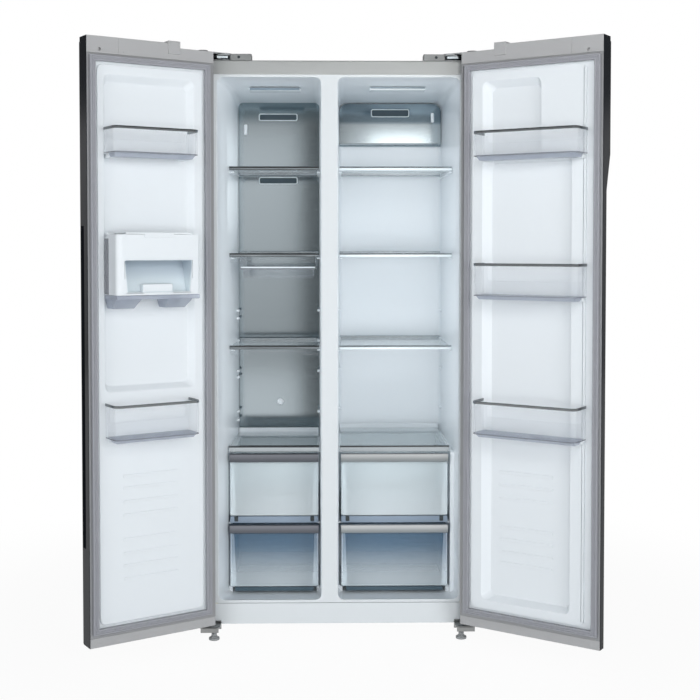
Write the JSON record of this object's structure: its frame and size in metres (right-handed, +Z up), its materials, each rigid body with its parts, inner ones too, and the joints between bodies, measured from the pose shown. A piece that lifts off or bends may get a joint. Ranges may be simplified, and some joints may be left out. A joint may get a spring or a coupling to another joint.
{
  "type": "side by side refrigerator",
  "caption": "Tall two-door refrigerator, freezer on the left and fridge on the right, stored with both doors swung open to show shelves, drawers and door bins.",
  "frame": {"origin": "on the floor, at the centre of the box that the refrigerator takes up with both doors open as stored", "axes": "+Z up, the doors and drawers open towards -Y, +X to the right of a person who faces the refrigerator; the freezer is on the -X side"},
  "size_m": [1.4842, 0.9051, 1.772],
  "materials": {
    "white_enamel": "satin",
    "steel_panel": "satin",
    "galvanised": "dull zinc",
    "white_plastic": "moulded, smooth",
    "grey_plastic": "fine grain",
    "dark_plastic": "fine grain",
    "clear_plastic": "clear, polished",
    "shelf_glass": "clear, ground edges",
    "brushed_trim": "brushed",
    "brushed_panel": "brushed",
    "door_glass": "black, polished",
    "gasket_rubber": "soft vinyl",
    "foam": "rigid foam",
    "coil_metal": "mill finish",
    "black_steel": "gloss black",
    "zinc_steel": "zinc plated",
    "foot_plastic": "moulded"
  },
  "bodies": {
    "cabinet": {"cabinet_shell": "steel_panel", "top_rail": "steel_panel", "front_frame": "white_enamel", "back_panel": "galvanised", "base_pan": "galvanised", "kick_plate": "white_enamel", "insulation": "foam", "freezer_liner": "white_plastic", "fridge_liner": "white_plastic", "freezer_back_panel": "brushed_panel", "fridge_duct_cover": "brushed_panel", "evaporator": "coil_metal", "compressor": "black_steel", "condenser": "black_steel", "compressor_cover": "dark_plastic", "lamp_covers": "clear_plastic", "temperature_sensors": "white_plastic", "upper_hinges": "zinc_steel", "lower_hinges": "zinc_steel", "hinge_covers": "dark_plastic", "freezer_drawer_cover": "shelf_glass", "fridge_drawer_cover": "shelf_glass"},
    "evaporator_fan": {"evaporator_fan": "white_plastic"},
    "left_foot": {"left_foot": "foot_plastic"},
    "right_foot": {"right_foot": "foot_plastic"},
    "rear_rollers": {"rear_rollers": "foot_plastic"},
    "left_door": {"left_door_glass": "door_glass", "left_door_frame": "steel_panel", "left_door_foam": "foam", "left_door_liner": "white_plastic", "left_door_gasket": "gasket_rubber", "left_door_caps": "grey_plastic"},
    "right_door": {"right_door_glass": "door_glass", "right_door_frame": "steel_panel", "right_door_foam": "foam", "right_door_liner": "white_plastic", "right_door_gasket": "gasket_rubber", "right_door_caps": "grey_plastic"},
    "ice_box": {"ice_box": "white_plastic"},
    "ice_box_lid": {"ice_box_lid": "white_plastic"},
    "ice_tray": {"ice_tray": "clear_plastic"},
    "left_door_upper_bin": {"left_door_upper_bin": "clear_plastic"},
    "left_door_lower_bin": {"left_door_lower_bin": "clear_plastic"},
    "right_door_upper_bin": {"right_door_upper_bin": "clear_plastic"},
    "right_door_middle_bin": {"right_door_middle_bin": "clear_plastic"},
    "right_door_lower_bin": {"right_door_lower_bin": "clear_plastic"},
    "freezer_shelf_upper": {"freezer_shelf_upper": "shelf_glass"},
    "freezer_shelf_middle": {"freezer_shelf_middle": "shelf_glass"},
    "freezer_shelf_lower": {"freezer_shelf_lower": "shelf_glass"},
    "fridge_shelf_upper": {"fridge_shelf_upper": "shelf_glass"},
    "fridge_shelf_middle": {"fridge_shelf_middle": "shelf_glass"},
    "fridge_shelf_lower": {"fridge_shelf_lower": "shelf_glass"},
    "freezer_upper_drawer": {"freezer_upper_drawer": "clear_plastic", "freezer_upper_handle": "brushed_trim"},
    "freezer_lower_drawer": {"freezer_lower_drawer": "clear_plastic", "freezer_lower_handle": "brushed_trim"},
    "fridge_upper_drawer": {"fridge_upper_drawer": "clear_plastic", "fridge_upper_handle": "brushed_trim"},
    "fridge_lower_drawer": {"fridge_lower_drawer": "clear_plastic", "fridge_lower_handle": "brushed_trim"}
  },
  "joints": [
    {"name": "left_door_hinge", "type": "hinge", "parent": "cabinet", "child": "left_door", "pos_m": [-0.4151, -0.15144, 0.9], "axis": [0, 0, -1], "range_deg": [-147.8, 4.2]},
    {"name": "right_door_hinge", "type": "hinge", "parent": "cabinet", "child": "right_door", "pos_m": [0.3801, -0.15144, 0.9], "axis": [0, 0, 1], "range_deg": [-145.8, 6.2]},
    {"name": "left_upper_bin_lift", "type": "slide", "parent": "left_door", "child": "left_door_upper_bin", "axis": [0, 0, 1], "range_m": [0, 0.035]},
    {"name": "left_lower_bin_lift", "type": "slide", "parent": "left_door", "child": "left_door_lower_bin", "axis": [0, 0, 1], "range_m": [0, 0.035]},
    {"name": "right_upper_bin_lift", "type": "slide", "parent": "right_door", "child": "right_door_upper_bin", "axis": [0, 0, 1], "range_m": [0, 0.035]},
    {"name": "right_middle_bin_lift", "type": "slide", "parent": "right_door", "child": "right_door_middle_bin", "axis": [0, 0, 1], "range_m": [0, 0.035]},
    {"name": "right_lower_bin_lift", "type": "slide", "parent": "right_door", "child": "right_door_lower_bin", "axis": [0, 0, 1], "range_m": [0, 0.035]},
    {"name": "ice_box_lift", "type": "slide", "parent": "left_door", "child": "ice_box", "axis": [0, 0, 1], "range_m": [0, 0.03]},
    {"name": "ice_box_lid_hinge", "type": "hinge", "parent": "ice_box", "child": "ice_box_lid", "pos_m": [-0.55989, -0.28859, 1.215], "axis": [-0.8462, -0.5329, 0], "range_deg": [0, 85]},
    {"name": "freezer_upper_shelf_slide", "type": "slide", "parent": "cabinet", "child": "freezer_shelf_upper", "axis": [0, -1, 0], "range_m": [0, 0.22]},
    {"name": "freezer_middle_shelf_slide", "type": "slide", "parent": "cabinet", "child": "freezer_shelf_middle", "axis": [0, -1, 0], "range_m": [0, 0.22]},
    {"name": "freezer_lower_shelf_slide", "type": "slide", "parent": "cabinet", "child": "freezer_shelf_lower", "axis": [0, -1, 0], "range_m": [0, 0.22]},
    {"name": "fridge_upper_shelf_slide", "type": "slide", "parent": "cabinet", "child": "fridge_shelf_upper", "axis": [0, -1, 0], "range_m": [0, 0.28]},
    {"name": "fridge_middle_shelf_slide", "type": "slide", "parent": "cabinet", "child": "fridge_shelf_middle", "axis": [0, -1, 0], "range_m": [0, 0.28]},
    {"name": "fridge_lower_shelf_slide", "type": "slide", "parent": "cabinet", "child": "fridge_shelf_lower", "axis": [0, -1, 0], "range_m": [0, 0.28]},
    {"name": "freezer_upper_drawer_slide", "type": "slide", "parent": "cabinet", "child": "freezer_upper_drawer", "axis": [0, -1, 0], "range_m": [0, 0.24]},
    {"name": "freezer_lower_drawer_slide", "type": "slide", "parent": "cabinet", "child": "freezer_lower_drawer", "axis": [0, -1, 0], "range_m": [0, 0.18]},
    {"name": "fridge_upper_drawer_slide", "type": "slide", "parent": "cabinet", "child": "fridge_upper_drawer", "axis": [0, -1, 0], "range_m": [0, 0.3]},
    {"name": "fridge_lower_drawer_slide", "type": "slide", "parent": "cabinet", "child": "fridge_lower_drawer", "axis": [0, -1, 0], "range_m": [0, 0.18]},
    {"name": "ice_tray_slide", "type": "slide", "parent": "freezer_shelf_middle", "child": "ice_tray", "axis": [0, -1, 0], "range_m": [0, 0.2]},
    {"name": "left_foot_screw", "type": "hinge", "parent": "cabinet", "child": "left_foot", "pos_m": [-0.3895, -0.13274, 0.02], "axis": [0, 0, 1], "continuous": true},
    {"name": "right_foot_screw", "type": "hinge", "parent": "cabinet", "child": "right_foot", "pos_m": [0.3545, -0.13274, 0.02], "axis": [0, 0, 1], "continuous": true},
    {"name": "rear_roller_axle", "type": "hinge", "parent": "cabinet", "child": "rear_rollers", "pos_m": [-0.0175, 0.40926, 0.017], "axis": [1, 0, 0], "continuous": true},
    {"name": "evaporator_fan_spin", "type": "hinge", "parent": "cabinet", "child": "evaporator_fan", "pos_m": [-0.2075, 0.32926, 1.52], "axis": [0, 1, 0], "continuous": true}
  ]
}
